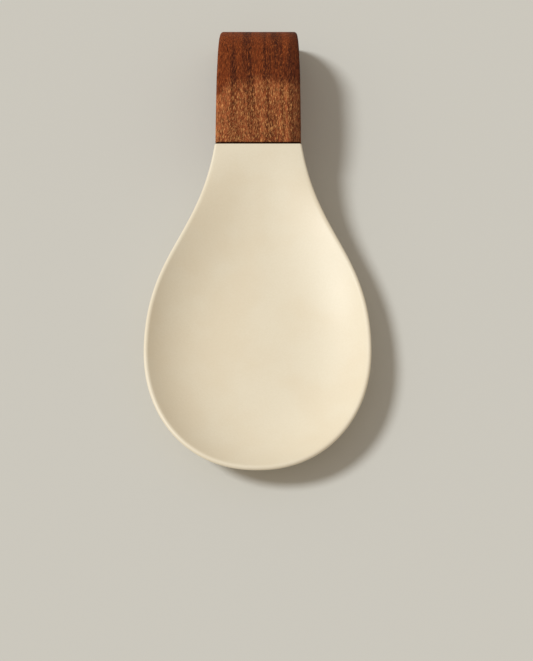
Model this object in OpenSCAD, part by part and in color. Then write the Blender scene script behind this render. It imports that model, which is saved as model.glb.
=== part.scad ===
// Spoon rest: a teardrop tray with a raised neck, and a wooden arch handle that
// carries the neck's line on and rolls over down to the ground.
// Millimetres. The origin is on the ground, under the middle of the whole rest.
// +Y runs from the bowl to the handle, +X to the right seen from the bowl, +Z up.

/* [Bowl] */
// Width of the tray across the widest place of its bowl
bowl_w = 100; // [80:1:130]
// From the bowl's widest place forward to its front edge
bowl_front_l = 60.3; // [45:0.1:80]
// From the bowl's widest place back to the end of the neck
bowl_back_l = 99.2; // [85:0.1:130]
// Height of the rim above the ground, round the bowl
rim_h = 16.7; // [13:0.1:22]
// Thickness of the rim, which is rounded over
rim_t = 2.2; // [1.6:0.1:3]
// Thickness of the floor at the bottom of the bowl
floor_t = 5; // [3:0.1:7]
// From the end of the neck forward to where the floor is lowest
dish_l = 92; // [70:0.5:110]

/* [Neck] */
// Width of the neck at its end
neck_w = 41; // [34:0.2:50]
// Height of the neck's top face at its end
neck_h = 27.5; // [24:0.5:34]
// Thickness of the neck at its end, and of the arch where it starts
neck_t = 11.5; // [10.5:0.5:14]
// From the end of the neck forward to where the rim starts to climb
climb_l = 90.2; // [60:0.1:110]

/* [Arch handle] */
// Width of the arch where it starts
arch_w = 40.4; // [34:0.2:50]
// Width of the arch at its foot
foot_w = 37.6; // [34:0.2:50]
// From the end of the neck to the back face of the arch
arch_l = 81.5; // [72:0.5:110]
// Height of the crest of the arch above the ground
crest_h = 31.9; // [29:0.1:40]
// From the end of the neck to where the arch runs level
level_l = 37.3; // [30:0.1:44]
// Length of the roll over at the back of the arch
roll_l = 30; // [20:0.5:32]
// Height at which the roll over ends and the foot runs straight down
foot_h = 1.9; // [1.2:0.1:6]
// Thickness of the arch at its foot and round the roll over
foot_t = 8.5; // [7.5:0.1:11]
// Radius of the arch's long edges
arch_edge_r = 1.5; // [1:0.1:3.5]

/* [Lap joint] */
// Gap of the dark seam between the neck and the arch
seam_gap = 0.8; // [0.4:0.1:1.5]
// Length of the tongue that runs on from the neck under the arch
tongue_l = 20; // [17:0.5:28]
// Width of the tongue
tongue_w = 28; // [25:0.5:32]
// Thickness of the tongue
tongue_t = 4; // [3:0.1:4.4]
// How far the tongue's underside lies above the neck's underside
tongue_step = 0.8; // [0.4:0.1:1.4]
// Radius of the tongue's two free corners
tongue_corner_r = 4; // [1:0.5:6]
// Clearance round the tongue in the pocket of the arch
pocket_clear = 0.3; // [0.2:0.05:0.8]

/* [Screws and washers] */
// Diameter of the screw's shank
screw_d = 3.5; // [3:0.1:4]
// Length of the screw under its head
screw_l = 9.5; // [8:0.5:10]
// Diameter of the pan head
head_d = 7; // [6:0.1:8]
// Height of the pan head
head_h = 2.2; // [1.6:0.1:3]
// Length of the screw's point
screw_tip_l = 1.6; // [0.8:0.1:2.4]
// Width of each slot of the cross recess
recess_w = 1; // [0.6:0.1:1.4]
// Length of each slot of the cross recess
recess_l = 3.8; // [3:0.1:4.4]
// Depth of the cross recess
recess_depth = 1.2; // [0.8:0.1:1.5]
// Distance between the two screws
screw_spacing = 15; // [13:0.5:17]
// From the end of the neck to the screws, along the tongue
screw_reach = 11; // [10:0.5:12]
// Diameter of the washer under each head
washer_d = 8.4; // [7.5:0.1:9]
// Thickness of that washer
washer_t = 0.8; // [0.5:0.1:1.2]
// Clearance on diameter of the holes through the tongue and the washers
hole_clear = 0.8; // [0.5:0.1:1.2]
// Clearance on diameter of the pilot holes in the arch
pilot_clear = 0.1; // [0.06:0.02:0.3]
// How much deeper a pilot hole is than its screw
pilot_spare = 0.3; // [0.1:0.1:0.6]

/* [Pads] */
// Diameter of the pads under the tray
tray_pad_d = 8; // [6:0.5:10]
// Diameter of the pads under the foot of the arch
arch_pad_d = 5.6; // [4:0.2:6.4]
// Thickness of every pad
pad_t = 1.5; // [1.2:0.1:2]
// How far the pads stand proud, which lifts the tray and the arch off the ground
pad_proud = 0.8; // [0.5:0.1:1]
// Bevel round the edge that a pad rests on
pad_bevel = 0.3; // [0.1:0.1:0.4]
// Clearance on diameter of the seats that the pads are glued into
pad_clear = 0.3; // [0.2:0.1:0.6]
// Distance between the left and right pads under the tray
tray_pad_spacing_x = 32; // [24:1:36]
// Distance between the front and back pads under the tray
tray_pad_spacing_y = 28; // [20:1:32]
// From the bowl's widest place forward to the middle of its four pads
tray_pad_reach = 9.8; // [4:0.1:16]
// Distance between the two pads under the foot of the arch
arch_pad_spacing = 26; // [18:1:30]

/* [Hidden] */
PAIR = ["left", "right"];
$fn = 64;

// Run past a face, so that a cut goes clean through it
overrun = 1;

// Places along the length
total_l = bowl_front_l + bowl_back_l + arch_l;
front_y = -total_l / 2;
wide_y = front_y + bowl_front_l;
neck_y = wide_y + bowl_back_l;
back_y = total_l / 2;

// The rim climbs as a parabola, so the neck ends on this slope
neck_slope = 2 * (neck_h - rim_h) / climb_l;
neck_angle = atan(neck_slope);
bowl_depth = rim_h - floor_t - pad_proud;
lip_r = rim_t / 2;

// How square the outline is at the front, where 2 is an ellipse
outline_power = 2.15;
// Reach of the two handles of the outline's back curve, of the back's length
outline_handle_share = 0.454;
// Slope of the outline at the end of the neck
neck_flare_share = 0.15;
// How far the bowl's folding line reaches forward, of the front's length
spine_share = 0.25;
// How gently the floor leaves the neck
dish_power = 1.5;
// How flat the dish's section is in its middle, at the neck and in the bowl, where
// 2 is a parabola
neck_dish_power = 2.2;
bowl_power = 3.7;
// How closely the points down the dish crowd towards the lip
dish_crowd_power = 1.3;
// How fast the neck thins out towards the bowl
thin_power = 3;
// How round the underside is below the bowl and at the end of the neck
under_power = 1.45;
neck_under_power = 10;
// Flat middle of the underside, of its half width, below the bowl and the neck
foot_share = 0.5;
neck_foot_share = 0.15;

// Counts of points: along the back and the front of the outline, round each half
// of the lip, down the dish, and across the underside
back_steps = 24;
front_steps = 18;
lip_steps = 3;
dish_steps = 10;
under_steps = 7;
side_steps = back_steps + front_steps;

function mix(a, b, share) = a + (b - a) * share;
function limit(value) = max(0, min(1, value));

// Height of the rim, its slope and the depth of the dish below it, at a place in Y
function climb(y) = limit((y - neck_y + climb_l) / climb_l);
function rim_z(y) = rim_h + (neck_h - rim_h) * pow(climb(y), 2);
function rim_slope(y) = neck_slope * climb(y);
function dish_share(y) = pow(sin(90 * limit((neck_y - y) / dish_l)), dish_power);
function floor_z(y) = rim_z(y) - bowl_depth * dish_share(y);
function under_z(y) =
    floor_z(y) - mix(floor_t, neck_t / cos(neck_angle), pow(1 - dish_share(y), thin_power));

// The right half of the outline, seen from above: a cubic curve from the end of
// the neck to the widest place, then a quarter of a superellipse to the front
function cubic(a, b, c, d, t) =
    a * pow(1 - t, 3) + 3 * b * pow(1 - t, 2) * t + 3 * c * (1 - t) * pow(t, 2) + d * pow(t, 3);
handle_y = outline_handle_share * bowl_back_l;
function back_point(t) = [
    cubic(bowl_w / 2, bowl_w / 2, neck_w / 2 + neck_flare_share * handle_y, neck_w / 2, t),
    cubic(wide_y, wide_y + handle_y, neck_y - handle_y, neck_y, t)
];
function front_point(angle) = [
    bowl_w / 2 * pow(cos(angle), 2 / outline_power),
    wide_y - bowl_front_l * pow(sin(angle), 2 / outline_power)
];
outline = concat(
    [for (i = [0:back_steps - 1]) back_point(1 - i / back_steps)],
    [for (i = [0:front_steps - 1]) front_point(90 * i / front_steps)],
    [[0, front_y]]
);

// Each point of the outline faces a point on the middle line, its folding line
function spine_y(y) = y < wide_y
    ? wide_y - (wide_y - y) * spine_share
    : wide_y + (y - wide_y) * mix(spine_share, 1, (y - wide_y) / bowl_back_l);

// The section of the tray at one point of the outline runs from the middle of the
// underside, out to the rim, over the lip and down the dish to the middle again.
// Each entry is [share of the way in from the outline to the folding line, height].
// Its floor and its underside are those at the entry's own place in Y, which keeps
// both smooth across the middle line.
function inner_y(y, share) = mix(y, spine_y(y), share);
function under_section(y) =
    let (flat_share = mix(neck_foot_share, foot_share, dish_share(y)),
         power = 2 / mix(neck_under_power, under_power, dish_share(y)))
    concat(
        [[1, under_z(spine_y(y))]],
        [for (i = [0:under_steps - 1])
            let (angle = 90 * i / under_steps,
                 share = (1 - flat_share) * (1 - pow(sin(angle), power)))
            [share, mix(rim_z(y) - lip_r, under_z(inner_y(y, share)), pow(cos(angle), power))]]
    );
function dish_curve(y) = mix(neck_dish_power, bowl_power, dish_share(y));
function dish_slope(reach, y) =
    dish_curve(y) * bowl_depth * dish_share(y) / (reach - rim_t + dish_curve(y) * lip_r / 2);
// The lip is a quarter round outside. Inside it bends down as a parabola, from level
// to the slope on which the dish starts.
function lip_section(reach, y) = concat(
    [for (i = [0:lip_steps])
        let (angle = 90 * i / lip_steps)
        [lip_r * (1 - cos(angle)) / reach, rim_z(y) - lip_r * (1 - sin(angle))]],
    [for (i = [1:lip_steps])
        let (way = i / lip_steps)
        [lip_r * (1 + way) / reach, rim_z(y) - dish_slope(reach, y) * lip_r / 2 * pow(way, 2)]]
);
function dish_section(reach, y, top) =
    [for (i = [1:dish_steps])
        let (way = pow(i / dish_steps, dish_crowd_power),
             share = mix(rim_t / reach, 1, way),
             fall = 1 - pow(1 - way, dish_curve(y)))
        [share, mix(top, floor_z(inner_y(y, share)), fall)]];
function section(point) =
    let (reach = norm([point.x, point.y - spine_y(point.y)]),
         lip = lip_section(reach, point.y))
    concat(under_section(point.y), lip, dish_section(reach, point.y, lip[len(lip) - 1][1]));

// A section's points in space: each lies on the line from the outline to the
// folding line, and leans back so that the neck is cut square to its own slope
function place(point, entry) =
    let (y = inner_y(point.y, entry[0]))
    [mix(point.x, 0, entry[0]), y + rim_slope(y) * (rim_z(y) - entry[1]), entry[1]];

module tray_shell() {
    rows = len(section(outline[0]));
    right = [for (point = outline) [for (entry = section(point)) place(point, entry)]];
    span = 2 * side_steps + 1;
    // The middle rows belong to both sides, so they are stored once
    points = concat(
        [for (i = [0:side_steps]) right[i][0]],
        [for (i = [0:side_steps]) right[i][rows - 1]],
        [for (k = [1:rows - 2], j = [0:span - 1])
            let (p = right[min(j, span - 1 - j)][k])
            [j <= side_steps ? p.x : -p.x, p.y, p.z]]
    );
    function index(k, j) =
        k == 0 ? min(j, span - 1 - j)
        : k == rows - 1 ? side_steps + 1 + min(j, span - 1 - j)
        : 2 * (side_steps + 1) + (k - 1) * span + j;
    // Each square is cut along the diagonal that leaves no flat triangle on the middle line
    skin = [for (k = [0:rows - 2], j = [0:span - 2], half = [0, 1])
        let (a = index(k, j),
             b = index(k, j + 1),
             c = index(k + 1, j + 1),
             d = index(k + 1, j),
             rising = (j < side_steps) != (k == 0))
        rising
            ? (half == 0 ? [a, b, c] : [a, c, d])
            : (half == 0 ? [a, b, d] : [b, c, d])];
    edge = concat(
        [for (k = [1:rows - 1]) index(k, 0)],
        [for (k = [rows - 2:-1:1]) index(k, span - 1)]
    );
    end = [for (i = [0:len(edge) - 2]) [index(0, 0), edge[i], edge[i + 1]]];
    polyhedron(points, concat(skin, end));
}

// The joint's own frame: Y runs along the slope from the end of the neck, and Z
// is square to it, with zero on the top face
module at_joint() {
    translate([0, neck_y, neck_h])
        rotate([neck_angle, 0, 0])
            children();
}
tongue_low = tongue_step - neck_t;
tongue_top = tongue_low + tongue_t;
module tongue_plan(grow, start, finish) {
    corner_r = tongue_corner_r + grow;
    width = tongue_w + 2 * grow;
    translate([-width / 2, start])
        square([width, finish - corner_r - start]);
    translate([corner_r - width / 2, start])
        square([width - 2 * corner_r, finish - start]);
    for (side = [-1, 1])
        translate([side * (width / 2 - corner_r), finish - corner_r])
            circle(corner_r);
}
module at_screws() {
    for (side = [-1, 1])
        at_screw(side) children();
}
module at_screw(side) {
    at_joint()
        translate([side * screw_spacing / 2, screw_reach, tongue_low])
            children();
}
module at_tray_pad(side, row) {
    translate([
        side * tray_pad_spacing_x / 2,
        wide_y - tray_pad_reach + row * tray_pad_spacing_y / 2,
        0
    ])
        children();
}
module at_arch_pad(side) {
    translate([side * arch_pad_spacing / 2, back_y - foot_t / 2, 0])
        children();
}
module pad_seat(d) {
    translate([0, 0, -overrun])
        cylinder(d = d + pad_clear, h = pad_t + overrun);
}

// Matt cream stoneware: bowl, neck and tongue in one piece
module tray() {
    color("#efe6d0")
        difference() {
            union() {
                tray_shell();
                at_joint()
                    translate([0, 0, tongue_low])
                        linear_extrude(tongue_t)
                            tongue_plan(0, -tongue_t, tongue_l);
            }
            at_screws()
                translate([0, 0, -overrun])
                    cylinder(d = screw_d + hole_clear, h = tongue_t + 2 * overrun);
            for (side = [-1, 1], row = [-1, 1])
                at_tray_pad(side, row)
                    pad_seat(tray_pad_d);
        }
}

// The outer line of the arch, from the seam to the foot, as [y, z, lean], where
// the lean is how far the surface has turned back from facing straight up
level_steps = 9;
roll_steps = 14;
arch_start_y = neck_y + seam_gap * cos(neck_angle);
arch_start_z = neck_h + seam_gap * sin(neck_angle);
level_y = neck_y + level_l;
roll_y = back_y - roll_l;
roll_h = crest_h - foot_h;
function level_point(t) =
    let (run = level_y - arch_start_y,
         pull = neck_slope * run / 3,
         slope = (3 * pow(1 - t, 2) * pull
             + 6 * (1 - t) * t * (crest_h - arch_start_z - pull)) / run)
    [mix(arch_start_y, level_y, t),
        cubic(arch_start_z, arch_start_z + pull, crest_h, crest_h, t), -atan(slope)];
function roll_point(angle) = [
    roll_y + roll_l * sin(angle),
    foot_h + roll_h * cos(angle),
    atan2(roll_h * sin(angle), roll_l * cos(angle))
];
arch_line = concat(
    [for (i = [0:level_steps]) level_point(i / level_steps)],
    [for (i = [0:roll_steps]) roll_point(90 * i / roll_steps)],
    [[back_y, pad_proud, 90]]
);

// The arch thins out as far as the roll, and draws in from where it runs level
draw_power = 1.5;
function thickness(y) = mix(neck_t, foot_t, limit((y - arch_start_y) / (roll_y - arch_start_y)));
function width(y) = mix(arch_w, foot_w, pow(limit((y - level_y) / (back_y - level_y)), draw_power));

// A section of the arch is a rounded rectangle, drawn clockwise seen along +Y
edge_steps = 3;
function arch_section(y) = [
    for (corner = [0:3], i = [0:edge_steps])
        let (angle = 90 * (corner + i / edge_steps),
             side_x = corner == 0 || corner == 3 ? 1 : -1,
             side_z = corner < 2 ? 1 : -1)
        [
            side_x * (width(y) / 2 - arch_edge_r) + arch_edge_r * cos(angle),
            (side_z - 1) * thickness(y) / 2 - side_z * arch_edge_r + arch_edge_r * sin(angle)
        ]
];
module arch_body() {
    ring = 4 * (edge_steps + 1);
    points = [for (p = arch_line, s = arch_section(p[0]))
        [s[0], p[0] + s[1] * sin(p[2]), p[1] + s[1] * cos(p[2])]];
    last = len(arch_line) - 1;
    sides = [for (k = [0:last - 1], j = [0:ring - 1], half = [0, 1])
        let (a = k * ring + j,
             b = k * ring + (j + 1) % ring)
        half == 0 ? [a, b, b + ring] : [a, b + ring, a + ring]];
    ends = concat(
        [for (j = [1:ring - 2]) [0, j + 1, j]],
        [for (j = [1:ring - 2]) [last * ring, last * ring + j, last * ring + j + 1]]
    );
    polyhedron(points, concat(sides, ends));
}

// Walnut: the arch, with a pocket under its front end that takes the tongue
screw_depth = screw_l - washer_t;
module arch_handle() {
    color("#84502f")
        difference() {
            arch_body();
            at_joint()
                translate([0, 0, tongue_top - neck_t - overrun])
                    linear_extrude(neck_t + overrun)
                        tongue_plan(pocket_clear, -overrun, tongue_l + pocket_clear);
            at_screws()
                cylinder(d = screw_d + pilot_clear, h = screw_depth + pilot_spare);
            for (side = [-1, 1])
                at_arch_pad(side)
                    pad_seat(arch_pad_d);
        }
}

// Stainless pan head screw, up through the tongue into the arch
head_edge_share = 1 / 3;
dome_steps = 6;
module handle_screw(side) {
    edge_h = head_h * head_edge_share;
    dome = [for (i = [0:dome_steps])
        let (angle = 90 * i / dome_steps)
        [head_d / 2 * cos(angle), -edge_h - (head_h - edge_h) * sin(angle)]];
    color("#c9c9c7")
        at_screw(side)
            translate([0, 0, -washer_t])
                difference() {
                    rotate_extrude()
                        polygon(concat(
                            [
                                [0, screw_l],
                                [screw_d / 2, screw_l - screw_tip_l],
                                [screw_d / 2, 0],
                                [head_d / 2, 0]
                            ],
                            dome
                        ));
                    for (turn = [0, 90])
                        rotate([0, 0, turn])
                            translate([-recess_l / 2, -recess_w / 2, -head_h - overrun])
                                cube([recess_l, recess_w, recess_depth + overrun]);
                }
}

// Soft washer that keeps the steel off the stoneware
module screw_washer(side) {
    color("#e8e4da")
        at_screw(side)
            translate([0, 0, -washer_t])
                difference() {
                    cylinder(d = washer_d, h = washer_t);
                    translate([0, 0, -overrun])
                        cylinder(d = screw_d + hole_clear, h = washer_t + 2 * overrun);
                }
}

// Silicone pad, glued into its seat
module pad(d) {
    color("#d8d6cf")
        rotate_extrude()
            polygon([
                [0, 0],
                [d / 2 - pad_bevel, 0],
                [d / 2, pad_bevel],
                [d / 2, pad_t],
                [0, pad_t]
            ]);
}
module tray_pad(side, row) {
    at_tray_pad(side, row)
        pad(tray_pad_d);
}
module arch_pad(side) {
    at_arch_pad(side)
        pad(arch_pad_d);
}

tray();
arch_handle();
for (i = [0, 1]) {
    side = 2 * i - 1;
    handle_screw(side);
    screw_washer(side);
    tray_pad(side, -1);
    tray_pad(side, 1);
    arch_pad(side);
}
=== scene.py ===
# %% [markdown]
# # A stoneware spoon rest with a walnut arch
# The dished bowl catches the drips of what is laid in it, and the wooden arch behind
# it is the handle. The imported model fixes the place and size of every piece. This
# lesson gives each piece the smooth surface and the finish of the real one.

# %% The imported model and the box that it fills
import math

import bmesh
import bpy
import numpy as np
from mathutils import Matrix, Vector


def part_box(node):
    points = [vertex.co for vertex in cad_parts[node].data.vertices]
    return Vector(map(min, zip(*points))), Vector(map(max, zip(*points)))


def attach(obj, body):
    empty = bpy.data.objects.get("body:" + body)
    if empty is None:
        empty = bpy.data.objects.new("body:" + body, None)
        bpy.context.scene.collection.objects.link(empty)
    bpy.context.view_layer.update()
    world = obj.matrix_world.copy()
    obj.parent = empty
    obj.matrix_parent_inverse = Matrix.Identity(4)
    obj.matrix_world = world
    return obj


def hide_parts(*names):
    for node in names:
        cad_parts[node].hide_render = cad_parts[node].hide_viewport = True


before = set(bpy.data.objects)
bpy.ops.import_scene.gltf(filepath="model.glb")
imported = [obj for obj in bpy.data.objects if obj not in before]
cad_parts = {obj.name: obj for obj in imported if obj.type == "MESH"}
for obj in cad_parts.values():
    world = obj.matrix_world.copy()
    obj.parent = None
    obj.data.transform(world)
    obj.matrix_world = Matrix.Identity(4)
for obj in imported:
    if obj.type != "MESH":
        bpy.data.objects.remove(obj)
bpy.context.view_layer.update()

mm = 0.001

# %% [markdown]
# ## The camera
# The rest is seen from the bowl's end and from well above, so the bowl looks like a
# long drop and the arch is foreshortened. A lens that is long for the frame keeps
# that foreshortening gentle. The frame is upright, so the sensor is fitted to its
# height: the lens is the focal length in pixels, times the sensor's height, over the
# frame's height.

# %% Camera
frame_height_pixels = 661
focal_pixels = 1200
camera_tilt = math.radians(28.31)
camera_place = (3.9 * mm, -306.1 * mm, 482.6 * mm)

camera_data = bpy.data.cameras.new("camera")
camera_data.sensor_fit = "VERTICAL"
camera_data.sensor_height = 36
camera_data.lens = camera_data.sensor_height * focal_pixels / frame_height_pixels
camera_data.clip_start = 10 * mm
camera = bpy.data.objects.new("camera", camera_data)
camera.location = camera_place
camera.rotation_euler = (camera_tilt, 0, 0)
bpy.context.scene.collection.objects.link(camera)
bpy.context.scene.camera = camera
print("lens", round(camera_data.lens, 2), "mm")

# %% [markdown]
# ## Surfaces as arrays
# Every piece here is a row of rings: closed loops of points that follow each other.
# The skin between two rings is a band of four-sided faces, and a flat face closes
# each end. Working the points out as whole arrays keeps a shape and its formula in
# one place, where hand-made control points would have to be nudged one by one.

# %% Faces between rings
merge_distance = 0.0001 * mm


def band_faces(near, far):
    """Four-sided faces between rings of point numbers and the rings that follow them."""
    corners = [near, np.roll(near, -1, axis=1), np.roll(far, -1, axis=1), far]
    return np.stack(corners, axis=-1).reshape(-1, 4).tolist()


def ring_faces(ring_count, point_count, endless=False):
    """All faces of a row of rings. Point p of ring r has the number r times the points
    of a ring, plus p. An endless row closes on its first ring and has no caps."""
    rings = np.arange(ring_count * point_count).reshape(ring_count, point_count)
    if endless:
        return band_faces(rings, np.roll(rings, -1, axis=0))
    return band_faces(rings[:-1], rings[1:]) + [rings[0].tolist(), rings[-1].tolist()]


# %% From points and faces to a piece


def make_piece(name, points, faces):
    """A mesh object at the origin from points in metres. Points that fall on each
    other are merged, which closes seams and poles, and every face is turned outwards."""
    mesh = bpy.data.meshes.new(name)
    mesh.from_pydata(np.asarray(points).reshape(-1, 3), [], faces)
    work = bmesh.new()
    work.from_mesh(mesh)
    bmesh.ops.remove_doubles(work, verts=work.verts, dist=merge_distance)
    bmesh.ops.recalc_face_normals(work, faces=work.faces)
    work.to_mesh(mesh)
    work.free()
    piece = bpy.data.objects.new(name, mesh)
    bpy.context.scene.collection.objects.link(piece)
    return piece


def from_rings(name, rings, endless=False):
    """A piece from an array of rings, points and coordinates."""
    return make_piece(name, rings, ring_faces(*rings.shape[:2], endless))


# %% Cutting, joining and shading


def carve(piece, cutter, operation="DIFFERENCE"):
    """Cuts a second solid out of a piece, or joins it on, and deletes that solid."""
    change = piece.modifiers.new("carve", "BOOLEAN")
    change.operation = operation
    change.solver = "MANIFOLD"
    change.object = cutter
    view = bpy.context.evaluated_depsgraph_get()
    mesh = bpy.data.meshes.new_from_object(piece.evaluated_get(view))
    piece.modifiers.clear()
    piece.data = mesh
    bpy.data.objects.remove(cutter)


def shade(piece, sharp_degrees):
    """Smooth shading that breaks where two faces meet at more than the sharp angle."""
    mesh = piece.data
    mesh.polygons.foreach_set("use_smooth", np.ones(len(mesh.polygons), dtype=bool))
    mesh.set_sharp_from_angle(angle=math.radians(sharp_degrees))
    print(piece.name, len(mesh.vertices), "points")


# %% [markdown]
# ## Eased ends
# Neither glazed clay nor sanded wood ends in a knife edge. The last ring of a piece
# is turned over a small quarter round: it moves on by the radius times the sine of
# the turn, and draws in by the radius times one minus its cosine.

# %% A quarter round on the end of a row of rings


def eased_end(ring, direction, radius, steps=4):
    """Rings that carry a flat ring on along the direction and round its edge over.
    Square to each point, the loop's own line crossed with the direction points in or
    out, and the sign is taken so that it points away from the middle."""
    direction = np.asarray(direction, dtype=float)
    line = np.roll(ring, -1, axis=0) - np.roll(ring, 1, axis=0)
    outward = np.cross(line, direction)
    outward /= np.linalg.norm(outward, axis=1, keepdims=True)
    outward *= np.sign(np.sum(outward * (ring - ring.mean(axis=0))))
    turn = np.linspace(0, np.pi / 2, steps + 1)[1:, None, None]
    return ring + radius * np.sin(turn) * direction - radius * (1 - np.cos(turn)) * outward


def ease_both(rings, start_direction, end_direction, radius):
    """Eases both ends of a row of rings whose end rings lie one radius short."""
    start = eased_end(rings[0], start_direction, radius)[::-1]
    return np.concatenate([start, rings, eased_end(rings[-1], end_direction, radius)])


# %% [markdown]
# ## The tray's lines
# The tray is slip cast in one piece: a dished drop whose rim climbs as a parabola
# into a raised neck. Two lines carry the whole form. The outline is a cubic curve
# behind the widest place and a quarter of a superellipse in front of it. Each of its
# points faces a point of the spine, a line along the middle, and the section between
# the two is one rule whose settings fade from round below the bowl to square at the
# neck.

# %% Sizes of the tray
tray_low, tray_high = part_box("tray")
bowl_w = tray_high.x - tray_low.x
bowl_front_l = 60.3 * mm
bowl_back_l = 99.2 * mm
wide_y = tray_low.y + bowl_front_l
neck_y = wide_y + bowl_back_l
rim_h = 16.7 * mm
rim_t = 2.2 * mm
lip_r = rim_t / 2
floor_t = 5 * mm
pad_proud = 0.8 * mm
bowl_depth = rim_h - floor_t - pad_proud
dish_l = 92 * mm
neck_w = 41 * mm
neck_h = 27.5 * mm
neck_t = 11.5 * mm
climb_l = 90.2 * mm
neck_slope = 2 * (neck_h - rim_h) / climb_l
neck_angle = math.atan(neck_slope)
tray_edge_r = 0.35 * mm
print("neck's slope in degrees", round(math.degrees(neck_angle), 2))


# %% Heights along the tray
depth_power = 1.5
thin_power = 3


def mix(a, b, share):
    """A straight blend, a where the share is 0 and b where it is 1."""
    return a + (b - a) * share


def climb(y):
    """How far the rim has climbed, from 0 at the bowl to 1 at the end of the neck."""
    return np.clip((y - neck_y + climb_l) / climb_l, 0, 1)


def rim_z(y):
    """Height of the rim, a parabola: its climb grows with the square of the way."""
    return rim_h + (neck_h - rim_h) * climb(y) ** 2


def dish_share(y):
    """How much of the full depth the floor has, a power of a quarter sine wave."""
    return np.sin(np.pi / 2 * np.clip((neck_y - y) / dish_l, 0, 1)) ** depth_power


def floor_z(y):
    """Height of the dish's floor on the spine: the rim less its share of the depth."""
    return rim_z(y) - bowl_depth * dish_share(y)


def under_z(y):
    """Height of the underside, which thins out fast from the neck to the bowl."""
    thin = (1 - dish_share(y)) ** thin_power
    return floor_z(y) - mix(floor_t, neck_t / math.cos(neck_angle), thin)


# %% Outline and spine
handle_share = 0.454
flare_share = 0.15
front_power = 2.15
spine_front_share = 0.25


def cubic(a, b, c, d, t):
    """A cubic curve from a to d that b and c pull on: each times its share of t."""
    return a * (1 - t) ** 3 + 3 * b * (1 - t) ** 2 * t + 3 * c * (1 - t) * t**2 + d * t**3


def tray_outline(back_count=150, front_count=110):
    """The right half of the outline from the neck to the front. Behind, a cubic curve
    whose handles reach a share of its length, and the neck's handle flares out by a
    share of its own. In front, the half width times the cosine and the length times
    the sine, both to the power of 2 over the superellipse's."""
    handle = handle_share * bowl_back_l
    flare = flare_share * handle
    t = np.linspace(1, 0, back_count, endpoint=False)
    turn = np.linspace(0, np.pi / 2, front_count)
    power = 2 / front_power
    back_x = cubic(bowl_w / 2, bowl_w / 2, neck_w / 2 + flare, neck_w / 2, t)
    back_y = cubic(wide_y, wide_y + handle, neck_y - handle, neck_y, t)
    front_x = bowl_w / 2 * np.cos(turn) ** power
    front_x[-1] = 0
    front_y = wide_y - bowl_front_l * np.sin(turn) ** power
    return np.concatenate([back_x, front_x]), np.concatenate([back_y, front_y])


def spine_y(y):
    """The place on the spine that an outline point faces: a fixed share of the way in
    front of the widest place, and a share behind it that grows to the whole way."""
    back_share = mix(spine_front_share, 1, (y - wide_y) / bowl_back_l)
    return wide_y + (y - wide_y) * np.where(y < wide_y, spine_front_share, back_share)


# %% [markdown]
# ## The tray's section
# One section runs from the middle of the underside out to the rim, over the rounded
# lip and down the dish to the middle again. Below, a superellipse lifts off a flat
# foot. Its power fades from 1.45, a soft bowl, to 10, an almost square neck. The dish
# is one open curve, steepest where it leaves the lip and level in the middle. At the
# neck it is nearly a parabola, and in the bowl its higher power makes a flatter floor.

# %% The underside
neck_flat_share = 0.15
bowl_flat_share = 0.5
neck_side_power = 10
bowl_side_power = 1.45


def inner_y(y, share):
    """The place along the tray at a share of the way in from the outline to the spine."""
    return mix(y, spine_y(y), share)


def under_rows(y, count=30, flat_count=5):
    """The flat foot and the rising side, as shares of the way in and heights. The side
    draws in by one minus a power of the sine, and its height goes from the lip to the
    underside by the same power of the cosine. The turn is eased at both ends, which
    crowds the rows where the side bends most."""
    flat_share = mix(neck_flat_share, bowl_flat_share, dish_share(y))
    power = 2 / mix(neck_side_power, bowl_side_power, dish_share(y))
    way = np.linspace(0, 1, count, endpoint=False)[:, None]
    turn = np.pi / 2 * way**2 * (3 - 2 * way)
    side = (1 - flat_share) * (1 - np.sin(turn) ** power)
    side_up = mix(rim_z(y) - lip_r, under_z(inner_y(y, side)), np.cos(turn) ** power)
    flat = mix(1, 1 - flat_share, np.linspace(0, 1, flat_count, endpoint=False)[:, None])
    return np.vstack([flat, side]), np.vstack([under_z(inner_y(y, flat)), side_up])


# %% The lip and the dish
neck_dish_power = 2.2
bowl_dish_power = 3.7
row_crowding = 1.3


def dish_curve(y):
    """The power of the dish's section: 2 is a parabola, and more is flatter inside."""
    return mix(neck_dish_power, bowl_dish_power, dish_share(y))


def lip_rows(reach, y, count=9):
    """A quarter round outside. Inside, the height falls by the slope of the dish times
    half the radius times the square of the way, which ends on the dish's own slope."""
    curve = dish_curve(y)
    slope = curve * bowl_depth * dish_share(y) / (reach - rim_t + curve * lip_r / 2)
    turn = np.linspace(0, np.pi / 2, count)[:, None]
    way = np.linspace(0, 1, count)[1:, None]
    distance = lip_r * np.vstack([1 - np.cos(turn), 1 + way])
    outer_up = rim_z(y) - lip_r * (1 - np.sin(turn))
    inner_up = rim_z(y) - slope * lip_r / 2 * way**2
    return distance / reach, np.vstack([outer_up, inner_up])


def dish_rows(reach, y, top, count=46):
    """The dish falls from the lip to the floor by one minus a power of the way left.
    The rows crowd towards the lip, where it is steepest."""
    way = np.linspace(0, 1, count + 1)[1:, None] ** row_crowding
    share = mix(rim_t / reach, 1, way)
    fall = 1 - (1 - way) ** dish_curve(y)
    return share, mix(top, floor_z(inner_y(y, share)), fall)


# %% The section for every outline point at once


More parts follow.
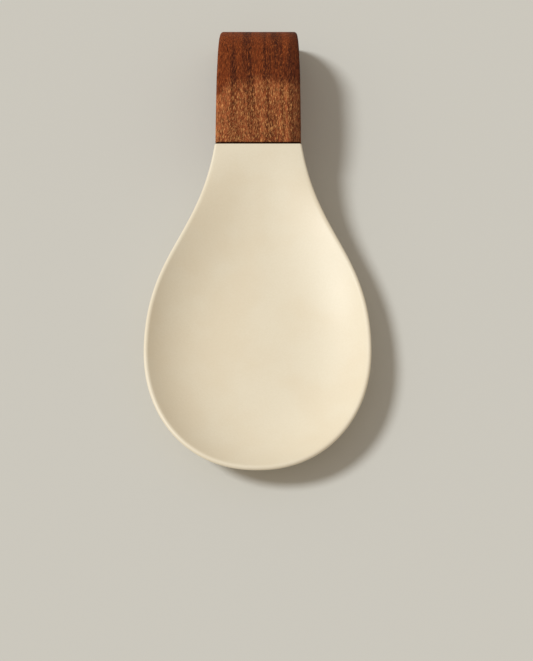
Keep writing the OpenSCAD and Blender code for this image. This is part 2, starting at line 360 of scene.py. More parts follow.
def tray_grid():
    """Rows of the section by columns round the outline, right side first, then its
    mirror image. A point leans back by the rim's slope times its depth below the rim,
    which cuts the end of the neck square to its own slope."""
    x, y = tray_outline()
    reach = np.hypot(x, y - spine_y(y))
    lip_share, lip_up = lip_rows(reach, y)
    parts = [under_rows(y), (lip_share, lip_up), dish_rows(reach, y, lip_up[-1])]
    share = np.vstack([p[0] for p in parts])
    z = np.vstack([p[1] for p in parts])
    inner = inner_y(y, share)
    lean = neck_slope * climb(inner) * (rim_z(inner) - z)
    right = np.stack([mix(x, 0, share), inner + lean, z], axis=-1)
    left = right[:, -2::-1] * (-1, 1, 1)
    return np.concatenate([right, left], axis=1)


# %% The tray's body
along_neck = np.array([0, math.cos(neck_angle), math.sin(neck_angle)])


def tray_body():
    """The grid as four-sided faces, plus an eased and capped end on the neck."""
    grid = tray_grid()
    rows, columns = grid.shape[:2]
    grid[:, [0, -1]] -= tray_edge_r * along_neck
    number = np.arange(rows * columns).reshape(rows, columns)
    corners = [number[:-1, :-1], number[:-1, 1:], number[1:, 1:], number[1:, :-1]]
    skin = np.stack(corners, axis=-1).reshape(-1, 4).tolist()
    rim = np.concatenate([number[:, 0], number[-2:0:-1, -1]])
    end = eased_end(grid.reshape(-1, 3)[rim], along_neck, tray_edge_r)
    caps = rows * columns + np.arange(end.shape[0] * len(rim)).reshape(end.shape[0], -1)
    rings = np.vstack([rim, caps])
    faces = skin + band_faces(rings[:-1], rings[1:]) + [rings[-1].tolist()]
    points = np.concatenate([grid.reshape(-1, 3), end.reshape(-1, 3)])
    return make_piece("tray_glazed", points, faces)


tray = tray_body()
print("tray's width in mm", round(tray.dimensions.x / mm, 2))

# %% [markdown]
# ## The lap joint
# The wood hides how the two halves hold together. A flat tongue of clay runs on from
# the neck into a pocket under the arch, and two screws go up through it. The tongue
# and its holes are cast with the tray, so they are joined on and cut out here. Their
# frame lies on the neck's slope, with its Z square to it.

# %% The joint's frame and the tongue
tongue_l = 20 * mm
tongue_w = 28 * mm
tongue_t = 4 * mm
tongue_low = 0.8 * mm - neck_t
tongue_top = tongue_low + tongue_t
tongue_corner_r = 4 * mm
pocket_clear = 0.3 * mm
overrun = 1 * mm
joint_up = np.array([0, -math.sin(neck_angle), math.cos(neck_angle)])


def from_joint(points):
    """Points of the joint's frame in the shared frame: X stays, Y runs up the slope
    from the top of the neck's end, and Z is square to it."""
    x, y, z = np.moveaxis(points, -1, 0)[..., None]
    return (0, neck_y, neck_h) + x * (1, 0, 0) + y * along_neck + z * joint_up


def tongue_outline(grow, start, finish, corner_count=13):
    """The tongue seen square to its face: straight sides and two quarter circles."""
    half = tongue_w / 2 + grow
    corner_r = tongue_corner_r + grow
    turn = np.linspace(0, np.pi / 2, corner_count)
    x = half - corner_r + corner_r * np.cos(turn)
    y = finish - corner_r + corner_r * np.sin(turn)
    right = np.stack([np.append(half, x), np.append(start, y)], axis=-1)
    return np.concatenate([right, right[::-1] * (-1, 1)])


def slab(name, outline, low, high, edge_r):
    """A flat outline of the joint's frame made into a slab with eased faces."""
    levels = np.array([low + edge_r, high - edge_r])[:, None, None]
    flat = np.concatenate([outline, 0 * outline[:, :1]], axis=1)
    rings = from_joint(flat + levels * (0, 0, 1))
    return from_rings(name, ease_both(rings, -joint_up, joint_up, edge_r))


tongue = tongue_outline(0, -tongue_t, tongue_l)
carve(tray, slab("tongue", tongue, tongue_low, tongue_top, tray_edge_r), "UNION")

# %% [markdown]
# ## Turned shapes
# Screws, washers, pads and the holes that they sit in are all turned about an axis.
# A turned shape is a profile of radii and heights carried round in equal steps.

# %% A profile turned about an upright axis


def turned(radii, heights, count=64):
    """Rings about Z: the radius times the cosine and the sine of the turn. A radius
    may itself change round the ring, as on a screw's thread."""
    turn = np.linspace(0, 2 * np.pi, count, endpoint=False)
    radii = np.asarray(radii, dtype=float).reshape(len(heights), -1) + 0 * turn
    heights = np.asarray(heights, dtype=float)[:, None] + 0 * turn
    return np.stack([radii * np.cos(turn), radii * np.sin(turn), heights], axis=-1)


# %% Screw holes through the tongue
screw_d = 3.5 * mm
hole_d = screw_d + 0.8 * mm
hole_edge = 0.35 * mm
screw_spacing = 15 * mm
screw_reach = 11 * mm
screw_feet = [
    np.array([side * screw_spacing / 2, screw_reach, tongue_low]) for side in (-1, 1)
]


def screw_hole(foot):
    """A straight hole that opens with a small flare at both faces of the tongue."""
    radii = hole_d / 2 + hole_edge * np.array([1, 1, 0, 0, 1, 1])
    below = [-overrun, 0, hole_edge]
    above = [tongue_t - hole_edge, tongue_t, tongue_t + overrun]
    return from_rings("hole", from_joint(turned(radii, below + above) + foot))


for foot in screw_feet:
    carve(tray, screw_hole(foot))

# %% Seats for the pads
pad_clear = 0.3 * mm
tray_pad_nodes = [
    f"tray_pad_{row}_{side}" for row in ("front", "back") for side in ("left", "right")
]
arch_pad_nodes = ["arch_pad_left", "arch_pad_right"]


def pad_frame(node):
    """The middle of a pad's foot, its radius and its thickness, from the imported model."""
    low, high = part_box(node)
    middle = np.array([(low.x + high.x) / 2, (low.y + high.y) / 2, low.z])
    return middle, (high.x - low.x) / 2, high.z - low.z


def pad_seat(node):
    """A round pocket that goes up as far as the pad, with a flare at its mouth."""
    middle, radius, height = pad_frame(node)
    radii = radius + pad_clear / 2 + hole_edge * np.array([1, 1, 0, 0])
    heights = [-overrun, pad_proud, pad_proud + hole_edge, height]
    return from_rings("seat", turned(radii, heights) + middle)


for node in tray_pad_nodes:
    carve(tray, pad_seat(node))
shade(tray, sharp_degrees=32)

# %% [markdown]
# ## The arch
# The arch is sawn from a solid walnut board, so its grain runs straight through the
# bend. Its outer line leaves the neck on the neck's slope, levels out, and rolls over
# in a quarter ellipse down to the foot. A rounded rectangle is carried along that
# line and thins on the way, from the neck's thickness to the foot's.

# %% Sizes of the arch
arch_low, arch_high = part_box("arch_handle")
arch_w = arch_high.x - arch_low.x
back_y = arch_high.y
crest_h = arch_high.z
level_l = 37.3 * mm
roll_l = 30 * mm
foot_h = 1.9 * mm
foot_t = 8.5 * mm
foot_w = 37.6 * mm
arch_edge_r = 1.5 * mm
seam_gap = 0.8 * mm
wood_edge_r = 0.4 * mm
arch_start = np.array([neck_y, neck_h]) + seam_gap * along_neck[1:]
level_y = neck_y + level_l
roll_y = back_y - roll_l
print("arch in mm", round(arch_w / mm, 2), "wide,", round(crest_h / mm, 2), "high")


# %% Outer line


def arch_line(level_count=90, roll_count=120):
    """Places, heights and leans along the top of the arch. First a cubic curve from
    the neck's slope to level, then a quarter ellipse, the length times the sine and
    the height times the cosine, then the straight foot. The lean is how far the face
    has turned back from facing straight up."""
    t = np.linspace(0, 1, level_count)
    run = level_y - arch_start[0]
    pull = neck_slope * run / 3
    start = arch_start[1]
    level = cubic(start, start + pull, crest_h, crest_h, t)
    slope = 3 * (1 - t) ** 2 * pull + 6 * (1 - t) * t * (crest_h - start - pull)
    turn = np.linspace(0, np.pi / 2, roll_count)
    rise = crest_h - foot_h
    roll_lean = np.arctan2(rise * np.sin(turn), roll_l * np.cos(turn))
    y = [mix(arch_start[0], level_y, t), roll_y + roll_l * np.sin(turn), [back_y]]
    z = [level, foot_h + rise * np.cos(turn), [pad_proud]]
    lean = [-np.arctan(slope / run), roll_lean, [np.pi / 2]]
    return np.concatenate(y), np.concatenate(z), np.concatenate(lean)


# %% Section


def arch_section(width, thickness, corner_count=9, flat_count=12):
    """A rounded rectangle below the line: four quarter circles joined by flats that
    are cut into equal lengths, so that no face is much longer than it is wide."""
    turn = np.linspace(0, np.pi / 2, corner_count)
    half = np.array([width / 2 - arch_edge_r, thickness / 2 - arch_edge_r])
    corners = []
    for i, side in enumerate([(1, 1), (-1, 1), (-1, -1), (1, -1)]):
        angle = turn + i * np.pi / 2
        arc = np.stack([np.cos(angle), np.sin(angle)], axis=-1) * arch_edge_r
        corners.append(arc + half * side)
    way = np.linspace(0, 1, flat_count, endpoint=False)[1:, None]
    flats = [mix(corners[i][-1], corners[(i + 1) % 4][0], way) for i in range(4)]
    loop = np.concatenate([part for pair in zip(corners, flats) for part in pair])
    return loop - (0, thickness / 2)


# %% The arch's body
narrow_power = 1.5


def arch_rings():
    """The section at each place of the line, turned by its lean: across stays X, and
    down the section moves forward by the sine and down by the cosine of the lean. The
    arch thins out evenly as far as the roll. From where it runs level it draws in by
    a power of the share of the way."""
    y, z, lean = arch_line()
    thinned = np.clip((y - arch_start[0]) / (roll_y - arch_start[0]), 0, 1)
    narrowed = np.clip((y - level_y) / (back_y - level_y), 0, 1) ** narrow_power
    sizes = zip(mix(arch_w, foot_w, narrowed), mix(neck_t, foot_t, thinned))
    loops = np.stack([arch_section(width, thickness) for width, thickness in sizes])
    across, down = loops[..., 0], loops[..., 1]
    along = y[:, None] + down * np.sin(lean)[:, None]
    up = z[:, None] + down * np.cos(lean)[:, None]
    return np.stack([across, along, up], axis=-1)


rings = arch_rings()
rings[0] += wood_edge_r * along_neck
rings[-1] += (0, 0, wood_edge_r)
arch = from_rings("arch_oiled", ease_both(rings, -along_neck, (0, 0, -1), wood_edge_r))

# %% The pocket, the pilot holes and the seats under the foot
screw_l = 9.5 * mm
washer_t = 0.8 * mm
pilot_d = screw_d + 0.1 * mm
pilot_l = screw_l - washer_t + 0.3 * mm


def pilot_hole(foot, count=48):
    """A straight hole from the tongue's underside up into the wood, with the cone
    that a drill leaves at its end."""
    radii = pilot_d / 2 * np.array([1, 1, 0.1])
    heights = [0, pilot_l, pilot_l + pilot_d / 4]
    return from_rings("pilot", from_joint(turned(radii, heights, count) + foot))


pocket = tongue_outline(pocket_clear, -overrun, tongue_l + pocket_clear)
carve(arch, slab("pocket", pocket, tongue_top - 2 * neck_t, tongue_top, wood_edge_r))
for foot in screw_feet:
    carve(arch, pilot_hole(foot))
for node in arch_pad_nodes:
    carve(arch, pad_seat(node))
shade(arch, sharp_degrees=32)

# %% [markdown]
# ## Screws, washers and pads
# The screws are stainless pan heads with a cross recess. A thread is a ridge that
# runs once round for each pitch, so the radius depends on the height and the turn
# together. The recess tapers like the driver's tip, and is cut out of the head.

# %% The thread
screw_tip_l = 1.6 * mm
tip_r = 0.05 * mm
tip_power = 0.7
core_d = 2.5 * mm
pitch = 1.3 * mm
ridge_share = 0.3
plain_l = 2.6 * mm
plain_r = 0.43 * screw_d


def thread_radii(heights, count):
    """The core tapers at the tip, and on it stands a ridge: one minus the distance
    from the middle of the pitch, over its half width, where that is above zero. Over
    one pitch the plain shank under the head passes into the core with its ridge."""
    turn = np.linspace(0, 1, count, endpoint=False)
    height = heights[:, None]
    phase = (height / pitch - turn) % 1
    ridge = np.clip(1 - np.abs(phase - 0.5) / ridge_share, 0, 1)
    taper = np.clip((screw_l - height) / screw_tip_l, 0, 1) ** tip_power
    grip = np.clip((height - plain_l) / pitch, 0, 1)
    core = mix(plain_r, core_d / 2, np.clip(grip * 2, 0, 1))
    return taper * (core + (screw_d / 2 - core_d / 2) * ridge * grip) + tip_r * (1 - taper)


# %% One screw, standing on the underside of its head
head_d = 7 * mm
head_h = 2.2 * mm
head_edge_h = head_h / 3
part_edge_r = 0.12 * mm


def screw_rings(count=48, shank_count=150, dome_count=14):
    """The threaded shank from its tip down, then the flat under the head, its edge,
    and a dome: the radius times the cosine and the height times the sine."""
    shank = np.linspace(screw_l, 0, shank_count)
    turn = np.linspace(0, np.pi / 2, dome_count)[:-1]
    dome_z = -head_edge_h - (head_h - head_edge_h) * np.sin(turn)
    head_r = np.concatenate([[head_d / 2 - part_edge_r, head_d / 2], head_d / 2 * np.cos(turn)])
    head_z = np.concatenate([[0, -part_edge_r], dome_z])
    radii = np.concatenate([thread_radii(shank, count), head_r[:, None] + np.zeros(count)])
    return turned(radii, np.concatenate([shank, head_z]), count)


# %% The cross recess
recess_w = 1 * mm
recess_l = 3.8 * mm
recess_depth = 1.2 * mm
depth_shares = np.array([-0.5, 0, 0.6, 1])
arm_shares = np.array([1, 1, 0.75, 0.35])
width_shares = np.array([1, 1, 0.85, 0.5])


def recess_rings():
    """A cross whose arms shorten and narrow with depth. Each ring is three points of
    one arm, turned by a quarter three times."""
    heights = -head_h + recess_depth * depth_shares
    quarter_turn = np.array([[0, 1], [-1, 0]])
    rings = []
    for a, h, z in zip(recess_l / 2 * arm_shares, recess_w / 2 * width_shares, heights):
        arms = [np.array([(a, -h), (a, h), (h, h)])]
        for _ in range(3):
            arms.append(arms[-1] @ quarter_turn)
        flat = np.concatenate(arms)
        rings.append(np.column_stack([flat, np.full(len(flat), z)]))
    return np.stack(rings)


# %% The two screws and their washers
washer_d = 8.4 * mm


def washer_rings(count=48):
    """A flat ring with eased corners: a closed profile turned about the axis."""
    inner, outer = hole_d / 2, washer_d / 2
    ease = part_edge_r
    radii = [inner + ease, outer - ease, outer, outer, outer - ease, inner + ease, inner, inner]
    heights = [0, 0, ease, washer_t - ease, washer_t, washer_t, washer_t - ease, ease]
    return turned(radii, heights, count)


screws, washers = [], []
for side, foot in zip(("left", "right"), screw_feet):
    seat = foot - (0, 0, washer_t)
    screw = from_rings(f"screw_threaded_{side}", from_joint(screw_rings() + seat))
    carve(screw, from_rings("recess", from_joint(recess_rings() + seat)))
    shade(screw, sharp_degrees=38)
    screws.append(screw)
    washer = from_rings(f"washer_eased_{side}", from_joint(washer_rings() + seat), endless=True)
    shade(washer, sharp_degrees=50)
    washers.append(washer)


# %% The six pads
pad_foot_r = 0.35 * mm
pad_top_edge = 0.1 * mm


def pad_rings(node, foot_count=6, count=56):
    """A disc whose lower edge is a quarter round and whose upper edge is eased."""
    middle, radius, height = pad_frame(node)
    turn = np.linspace(0, np.pi / 2, foot_count)
    foot_radii = radius - pad_foot_r * (1 - np.sin(turn))
    foot_heights = pad_foot_r * (1 - np.cos(turn))
    radii = np.concatenate([foot_radii, [radius, radius - pad_top_edge]])
    heights = np.concatenate([foot_heights, [height - pad_top_edge, height]])
    return turned(radii, heights, count) + middle


pads = {}
for node in tray_pad_nodes + arch_pad_nodes:
    pads[node] = from_rings(node.replace("pad", "foot_pad"), pad_rings(node))
    shade(pads[node], sharp_degrees=40)
print(len(pads), "pads")

# %% [markdown]
# ## Materials
# Each finish starts from what the real one is. Colours are written as sRGB hex values
# and turned to linear light once, because the shader mixes light, not paint codes.
# One function adds any node, with its settings and its links, so that the material
# reads as a list of what is fed into what.

# %% Colours and nodes


def linear(colour):
    """An sRGB hex colour as linear light: below 0.04045 a straight line, and above it
    the value plus 0.055, over 1.055, to the power 2.4."""
    srgb = np.array([int(colour[i:i + 2], 16) for i in (0, 2, 4)]) / 255
    light = np.where(srgb <= 0.04045, srgb / 12.92, ((srgb + 0.055) / 1.055) ** 2.4)
    return (*light.tolist(), 1)


def feed(tree, node, inputs):
    """Gives a node's sockets, by name or number, a value, a hex colour or an output."""
    for socket, value in inputs.items():
        if isinstance(value, bpy.types.NodeSocket):
            tree.links.new(value, node.inputs[socket])
        else:
            plain = linear(value) if isinstance(value, str) else value
            node.inputs[socket].default_value = plain


def add_node(tree, kind, inputs, output=0, **settings):
    """Adds one node, makes its own settings, feeds its sockets and gives back one of
    its outputs, by name or number."""
    node = tree.nodes.new(kind)
    for name, value in settings.items():
        setattr(node, name, value)
    feed(tree, node, inputs)
    return node.outputs[output]


def blank_material(name, inputs):
    """A material with its tree, its shader and the piece's own coordinates."""
    material = bpy.data.materials.new(name)
    material.use_nodes = True
    tree = material.node_tree
    shader = tree.nodes["Principled BSDF"]
    feed(tree, shader, inputs)
    place = add_node(tree, "ShaderNodeTexCoord", {}, "Object")
    return material, tree, shader, place


# %% [markdown]
# ## Marks and tints
# Glaze, clay and wood are all made the same way: soft noise gives each kind of mark
# its mask, and tints go over a base colour one after another, as stain goes on in
# coats. A mark's real size in millimetres sets the noise's scale, which is one over
# that size.

# %% Marks of a real size


def cloudy(tree, place, size, low=0.35, high=0.65, detail=3, rough=0.5, seed=(0, 0, 0), turn=0):
    """Soft noise with marks of the given sizes in X, Y and Z. It is 0 where the noise
    is low and 1 where it is high. Seed moves the pattern, and turn swings it about
    the vertical axis."""
    swing = {"Vector": place, "Location": seed, "Rotation": (0, 0, turn)}
    moved = add_node(tree, "ShaderNodeMapping", swing)
    squeeze = {"Vector": moved, "Scale": tuple(1 / side for side in size)}
    sized = add_node(tree, "ShaderNodeMapping", squeeze)
    marks = {"Vector": sized, "Scale": 1, "Detail": detail, "Roughness": rough}
    noise = add_node(tree, "ShaderNodeTexNoise", marks, "Fac")
    spread = {"Value": noise, "From Min": low, "From Max": high}
    return add_node(tree, "ShaderNodeMapRange", spread, interpolation_type="SMOOTHSTEP")


# %% Coats of tint


def tinted(tree, colour, coats):
    """Lays coats over a colour, each a mask, a strength and a tint. The tint shows by
    the mask times the strength."""
    for mask, strength, tint in coats:
        shown = add_node(tree, "ShaderNodeMath", {0: mask, 1: strength}, operation="MULTIPLY")
        pair = {0: shown, 6: colour, 7: tint}
        colour = add_node(tree, "ShaderNodeMix", pair, 2, data_type="RGBA")
    return colour


# %% [markdown]
# ## Matt glazed stoneware
# A matt cream glaze over pale clay. The glaze lies like a soft skin: its tone drifts
# a little over centimetres, a fine eggshell grain breaks up the highlight, and the
# foot that stood on the kiln shelf is left bare, sandy and dry. The real grain is too
# fine to show, so it is drawn at 0.9 mm.

# %% The bare foot
# What lies inside this flat ellipsoid is bare. It is given by its middle and reach
foot_middle = (0, -72 * mm, 0)
foot_reach = (30 * mm, 32 * mm, 3.2 * mm)
foot_waver = 0.012


def bare_foot(tree, place):
    """1 on the bare foot and 0 on the glaze. The distance from the ellipsoid's middle
    is 1 on its skin, and a little noise makes the glaze's edge waver there."""
    ellipsoid = {"Vector": place, "Location": foot_middle, "Scale": foot_reach}
    inside = add_node(tree, "ShaderNodeMapping", ellipsoid, vector_type="TEXTURE")
    away = add_node(tree, "ShaderNodeVectorMath", {0: inside}, "Value", operation="LENGTH")
    wobble = cloudy(tree, place, [5 * mm] * 3, 0.3, 0.7, seed=(1, 5, 0))
    sway = {0: wobble, 1: foot_waver, 2: away}
    edge = add_node(tree, "ShaderNodeMath", sway, operation="MULTIPLY_ADD")
    step = {"Value": edge, "From Min": 1 + foot_waver, "From Max": 1}
    return add_node(tree, "ShaderNodeMapRange", step, interpolation_type="SMOOTHSTEP")


# %% Glaze and clay


def stoneware():
    """Glaze and clay, told apart by the bare foot. The clay is rougher, and two bumps
    give the glaze its soft swell and its grain."""
    material, tree, shader, place = blank_material("matt_glazed_stoneware", {"IOR": 1.5})
    drift = cloudy(tree, place, [24 * mm] * 3, detail=2)
    grain = cloudy(tree, place, [0.9 * mm] * 3, 0.3, 0.7, detail=2, seed=(3, 1, 2))
    sand = cloudy(tree, place, [0.6 * mm] * 3, 0.4, 0.62, seed=(2, 2, 7))
    soft = cloudy(tree, place, [4 * mm] * 3, 0, 1, detail=1, seed=(0, 4, 4))
    bare = bare_foot(tree, place)
    glaze = tinted(tree, "eaddc5", [(drift, 1, "ece1cb"), (grain, 0.1, "d8c9a8")])
    clay = tinted(tree, "d6c4a2", [(sand, 1, "c2ab85")])
    smooth = {0: drift, 1: 0.06, 2: 0.44}
    satin = add_node(tree, "ShaderNodeMath", smooth, operation="MULTIPLY_ADD")
    dry = add_node(tree, "ShaderNodeMath", {0: bare, 1: 0.9}, operation="MULTIPLY")
    swell = {"Height": soft, "Strength": 0.5, "Distance": 0.03 * mm}
    swollen = add_node(tree, "ShaderNodeBump", swell)
    eggshell = {"Height": grain, "Strength": 0.5, "Distance": 0.012 * mm, "Normal": swollen}
    feed(tree, shader, {
        "Base Color": tinted(tree, glaze, [(bare, 1, clay)]),
        "Roughness": add_node(tree, "ShaderNodeMath", {0: satin, 1: dry}, operation="MAXIMUM"),
        "Normal": add_node(tree, "ShaderNodeBump", eggshell),
    })
    return material


# %% [markdown]
# ## Oiled walnut
# The board's year rings are nearly level sheets, tilted along the arch. Where the
# crest planes through them they show as a pointed cathedral figure, with a dark band
# on the crest and lighter wood towards the neck. The band is partly heartwood and
# partly painted shade. The right edge is painted darker too: partly heartwood, partly
# the painted shade of the rounded edge that faces away from the lamp. Along the grain
# run soft streaks, fine fibres, short golden and dark flecks and open pores. The
# pattern is solid, not wrapped, so the marks shorten where the roll cuts across the
# grain. The faces towards the neck are dark: the end grain there soaks up oil and
# darkens, and the same colour paints the shade in the seam gap.

# %% The board's year rings
ring_axis = (5 * mm, 0, -90 * mm)
ring_tilt = 0.3
ring_pitch = 2.6 * mm
ring_sway = 3.6 * mm


def year_rings(tree, place, drift):
    """The size of the ring at each place: the distance from the trunk's axis, plus the
    tilt times the way along it, plus a slow sway."""
    centred = {"Vector": place, "Location": tuple(-v for v in ring_axis)}
    away = add_node(tree, "ShaderNodeMapping", centred)
    across = {0: away, 1: (1, 0, 1)}
    level = add_node(tree, "ShaderNodeVectorMath", across, operation="MULTIPLY")
    radius = add_node(tree, "ShaderNodeVectorMath", {0: level}, "Value", operation="LENGTH")
    along = add_node(tree, "ShaderNodeSeparateXYZ", {0: place}, "Y")
    climbed = {0: along, 1: ring_tilt, 2: radius}
    tilted = add_node(tree, "ShaderNodeMath", climbed, operation="MULTIPLY_ADD")
    swayed = {0: drift, 1: ring_sway, 2: tilted}
    return add_node(tree, "ShaderNodeMath", swayed, operation="MULTIPLY_ADD")


def late_wood(tree, ring):
    """Thin dark lines, one for each pitch: the cube of a sine wave lifted to run from
    0 to 1."""
    turns = {0: ring, 1: 2 * math.pi / ring_pitch}
    angle = add_node(tree, "ShaderNodeMath", turns, operation="MULTIPLY")
    wave = add_node(tree, "ShaderNodeMath", {0: angle}, operation="SINE")
    halved = {0: wave, 1: 0.5, 2: 0.5}
    lifted = add_node(tree, "ShaderNodeMath", halved, operation="MULTIPLY_ADD")
    return add_node(tree, "ShaderNodeMath", {0: lifted, 1: 3}, operation="POWER")


# %% Heartwood, end grain and painted shade
# The rings at the crest's front edge have this size, and the dark band starts there:
# it is heartwood and painted shade
band_and_shade_start = math.hypot(ring_axis[0], crest_h - ring_axis[2]) + ring_tilt * level_y
band_and_shade_from = band_and_shade_start - 0.8 * mm
band_and_shade_full = band_and_shade_start + 2.4 * mm
# From about here the right edge is painted darker: heartwood and the painted shade of the
# rounded edge turned away from the lamp
heart_and_shade_x = 17 * mm
heart_and_shade_from = heart_and_shade_x - 2.5 * mm
heart_and_shade_full = heart_and_shade_x + 2 * mm
heart_and_shade_sway = 2 * mm


def heartwood_and_shade(tree, place, drift, ring):
    """The dark band, where the rings are larger than at its start, and the dark right
    edge, both with a soft border that sways. Both are partly heartwood and partly
    painted shade."""
    across = add_node(tree, "ShaderNodeSeparateXYZ", {0: place}, "X")
    sway = {0: drift, 1: heart_and_shade_sway, 2: across}
    swayed = add_node(tree, "ShaderNodeMath", sway, operation="MULTIPLY_ADD")
    crest = {"Value": ring, "From Min": band_and_shade_from, "From Max": band_and_shade_full}
    edge = {"Value": swayed, "From Min": heart_and_shade_from, "From Max": heart_and_shade_full}
    band_and_shade = add_node(tree, "ShaderNodeMapRange", crest, interpolation_type="SMOOTHSTEP")
    heart_and_shade = add_node(tree, "ShaderNodeMapRange", edge, interpolation_type="SMOOTHSTEP")
    return band_and_shade, heart_and_shade


def end_grain_and_gap_shade(tree):
    """1 where the face looks straight at the neck, across the ends of the fibres, and
    0 on the faces that the grain runs along. Its dark colour is the oil-soaked end
    grain and also painted shade in the seam gap at the neck."""
    facing = add_node(tree, "ShaderNodeTexCoord", {}, "Normal")
    forward = add_node(tree, "ShaderNodeSeparateXYZ", {0: facing}, "Y")
    step = {"Value": forward, "From Min": -0.8, "From Max": -0.95}
    return add_node(tree, "ShaderNodeMapRange", step, interpolation_type="SMOOTHSTEP")


# %% Walnut


def walnut():
    """Coats of streaks, rings, heartwood with painted shade, fibres, flecks and pores
    over a mid brown, and dark end grain that also paints the seam gap's shade. The
    pores are dull and sink in, and the pale flecks stand up a little."""
    inputs = {"IOR": 1.42, "Specular IOR Level": 0.12}
    material, tree, shader, place = blank_material("oiled_walnut", inputs)
    drift = cloudy(tree, place, (9 * mm, 30 * mm, 14 * mm), 0.2, 0.8, seed=(0.3, 0.1, 0))
    ring = year_rings(tree, place, drift)
    band_and_shade, heart_and_shade = heartwood_and_shade(tree, place, drift, ring)
    streak = cloudy(tree, place, (3.4 * mm, 60 * mm, 20 * mm), 0.42, 0.64, seed=(1.9, 0, 0.2))
    fibre = cloudy(tree, place, (0.5 * mm, 26 * mm, 1.6 * mm), 0.38, 0.66, seed=(0.1, 0.6, 0.4))
    hair = cloudy(tree, place, (0.22 * mm, 14 * mm, 0.5 * mm), 0.46, 0.66, seed=(5, 2, 3))
    fleck = cloudy(
        tree, place, (0.36 * mm, 2.6 * mm, 0.6 * mm), 0.49, 0.63, detail=5, rough=0.75,
        turn=0.12,
    )
    dark_fleck = cloudy(
        tree, place, (0.36 * mm, 3 * mm, 0.6 * mm), 0.5, 0.64, detail=5, rough=0.75,
        seed=(2, 7, 1), turn=-0.1,
    )
    pore = cloudy(
        tree, place, (0.25 * mm, 5 * mm, 0.25 * mm), 0.6, 0.7, detail=1, seed=(4, 4, 9),
    )
    # Colours of the crest band, heartwood and painted shade; the golden flecks dim inside it
    dark = tinted(tree, "722f0d", [(streak, 1, "340f08")])
    gold = tinted(tree, "eaa766", [(band_and_shade, 1, "ad5e2e")])
    colour = tinted(tree, "b06037", [
        (streak, 1, "713316"),
        (late_wood(tree, ring), 0.3, "5d2f19"),
        # The crest band: heartwood, darkened further as painted shade
        (band_and_shade, 0.88, dark),
        (fibre, 0.3, "5a2a14"),
        (hair, 0.35, "471d0d"),
        (fleck, 0.8, gold),
        # Dark right edge: heartwood and painted shade of the edge turned away from the lamp
        (heart_and_shade, 0.6, "31120a"),
        (dark_fleck, 0.85, "200b04"),
        (pore, 0.7, "220d06"),
        # Dark faces towards the neck: oil-soaked end grain and painted shade of the seam gap
        (end_grain_and_gap_shade(tree), 0.8, "1d0c06"),
    ])
    dull = {0: pore, 1: 0.2, 2: 0.68}
    raised = add_node(tree, "ShaderNodeMath", {0: fleck, 1: 0.3}, operation="MULTIPLY")
    grain = add_node(tree, "ShaderNodeMath", {0: raised, 1: pore}, operation="SUBTRACT")
    relief = {"Height": grain, "Strength": 0.6, "Distance": 0.06 * mm}
    feed(tree, shader, {
        "Base Color": colour,
        "Roughness": add_node(tree, "ShaderNodeMath", dull, operation="MULTIPLY_ADD"),
        "Normal": add_node(tree, "ShaderNodeBump", relief),
    })
    return material


# %% [markdown]
# ## Steel, nylon and silicone
# The small parts are hidden unless the rest is turned over. Stainless steel off a
# header is bright with a fine satin from tumbling. Natural nylon is off-white and
# lets a little light in. Silicone is milky and dull, and picks up fine dust.

# %% Small parts


def plain_finish(name, inputs, marks, base, coats, rough_from, rough_by):
    """A finish with few marks, each given by the settings of its noise. A coat is the
    number of its mark, a strength and a tint. The first mark adds to the roughness."""
    material, tree, shader, place = blank_material(name, inputs)
    masks = [cloudy(tree, place, **settings) for settings in marks]
    rough = {0: masks[0], 1: rough_by, 2: rough_from}
    feed(tree, shader, {
        "Base Color": tinted(tree, base, [(masks[i], *coat) for i, *coat in coats]),
        "Roughness": add_node(tree, "ShaderNodeMath", rough, operation="MULTIPLY_ADD"),
    })
    return material


steel = plain_finish(
    "tumbled_stainless_steel", {"Metallic": 1},
    [{"size": [0.5 * mm] * 3, "detail": 4}],
    "cfcdc8", [(0, 1, "bbb8b2")], rough_from=0.24, rough_by=0.14,
)
nylon = plain_finish(
    "natural_nylon",
    {"IOR": 1.53, "Subsurface Weight": 0.2, "Subsurface Scale": 1,
     "Subsurface Radius": (0.6 * mm, 0.5 * mm, 0.4 * mm)},
    [{"size": [1.5 * mm] * 3}],
    "e9e5db", [(0, 1, "ddd7c8")], rough_from=0.42, rough_by=0.1,
)
silicone = plain_finish(
    "milky_silicone", {"IOR": 1.41, "Sheen Weight": 0.1},
    [{"size": [0.4 * mm] * 3, "low": 0.4, "high": 0.7},
     {"size": [3 * mm] * 3, "seed": (1, 1, 1)}],
    "dedcd4", [(1, 1, "d0cdc3"), (0, 0.2, "b9b4a6")], rough_from=0.55, rough_by=0.15,
)

# %% Every piece gets its finish, its body and the node that it stands for


def dress(piece, material, node):
    """One finished piece: its material, its body and the node it replaces."""
    piece.data.materials.clear()
    piece.data.materials.append(material)
    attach(piece, "root")
    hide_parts(node)
    print(piece.name, "has", material.name)


dress(tray, stoneware(), "tray")
dress(arch, walnut(), "arch_handle")
for side, screw, washer in zip(("left", "right"), screws, washers):
    dress(screw, steel, f"handle_screw_{side}")
    dress(washer, nylon, f"screw_washer_{side}")
for node, pad in pads.items():
    dress(pad, silicone, node)

# %% [markdown]
# ## Floor and light
# A plain pale floor, one soft white lamp far off on the left, and an even, slightly
# warm fill from all round. A lamp that far away lights the whole floor alike. The
# lamp and the fill together bring a level surface to about its own written colour,
# and the lamp's side light draws the dish and the rim.

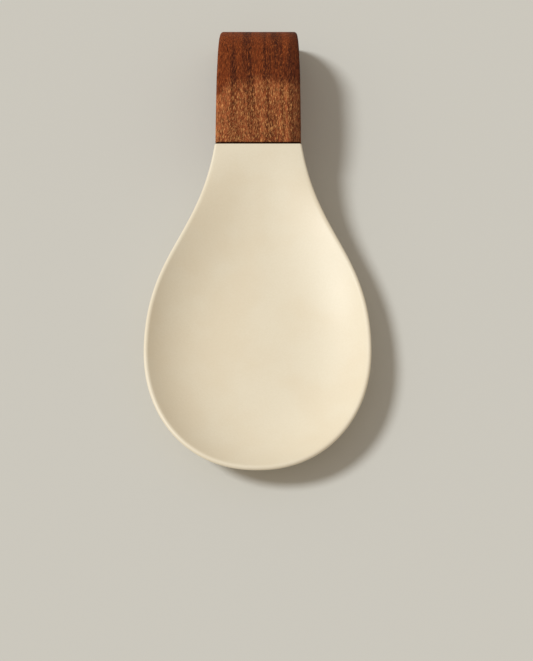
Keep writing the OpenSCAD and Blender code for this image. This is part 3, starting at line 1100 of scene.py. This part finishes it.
# %% Floor
floor_size = 40
floor_mesh = bpy.data.meshes.new("floor")
corners = floor_size / 2 * np.array([(-1, -1, 0), (1, -1, 0), (1, 1, 0), (-1, 1, 0)])
floor_mesh.from_pydata(corners, [], [(0, 1, 2, 3)])
floor = bpy.data.objects.new("floor", floor_mesh)
bpy.context.scene.collection.objects.link(floor)
# A floor with no gloss is equally bright from every side
floor_inputs = {"Base Color": "d2d0ca", "Roughness": 1, "Specular IOR Level": 0}
floor_mesh.materials.append(blank_material("plain_floor", floor_inputs)[0])

# %% Lamp
lamp_data = bpy.data.lights.new("key", "SUN")
lamp_data.angle = math.radians(14)
lamp_data.energy = 2.2
lamp_data.color = linear("fafeff")[:3]
lamp = bpy.data.objects.new("key", lamp_data)
lamp_height = math.radians(50)
lamp_side = math.radians(6)
# Only the direction of such a lamp counts, so its place is that direction, 1 m long
lamp.location = (
    -math.cos(lamp_height) * math.cos(lamp_side),
    math.cos(lamp_height) * math.sin(lamp_side),
    math.sin(lamp_height),
)
lamp.rotation_euler = lamp.location.to_track_quat("Z", "Y").to_euler()
bpy.context.scene.collection.objects.link(lamp)

# %% World
fill_colour, fill_strength = "fff4e4", 0.42
# What the camera sees past the floor's edge is the lit floor's own tone
shown_colour, shown_strength = "fffaed", 0.6
world = bpy.data.worlds.new("studio")
world.use_nodes = True
bpy.context.scene.world = world
sky_tree = world.node_tree
shown = add_node(sky_tree, "ShaderNodeLightPath", {}, "Is Camera Ray")
for kind in ("Is Glossy Ray", "Is Transmission Ray"):
    ray = add_node(sky_tree, "ShaderNodeLightPath", {}, kind)
    shown = add_node(sky_tree, "ShaderNodeMath", {0: shown, 1: ray}, operation="MAXIMUM")
levels = {"Value": shown, "To Min": fill_strength, "To Max": shown_strength}
feed(sky_tree, sky_tree.nodes["Background"], {
    "Color": tinted(sky_tree, fill_colour, [(shown, 1, shown_colour)]),
    "Strength": add_node(sky_tree, "ShaderNodeMapRange", levels),
})
bpy.context.scene.view_settings.view_transform = "Standard"
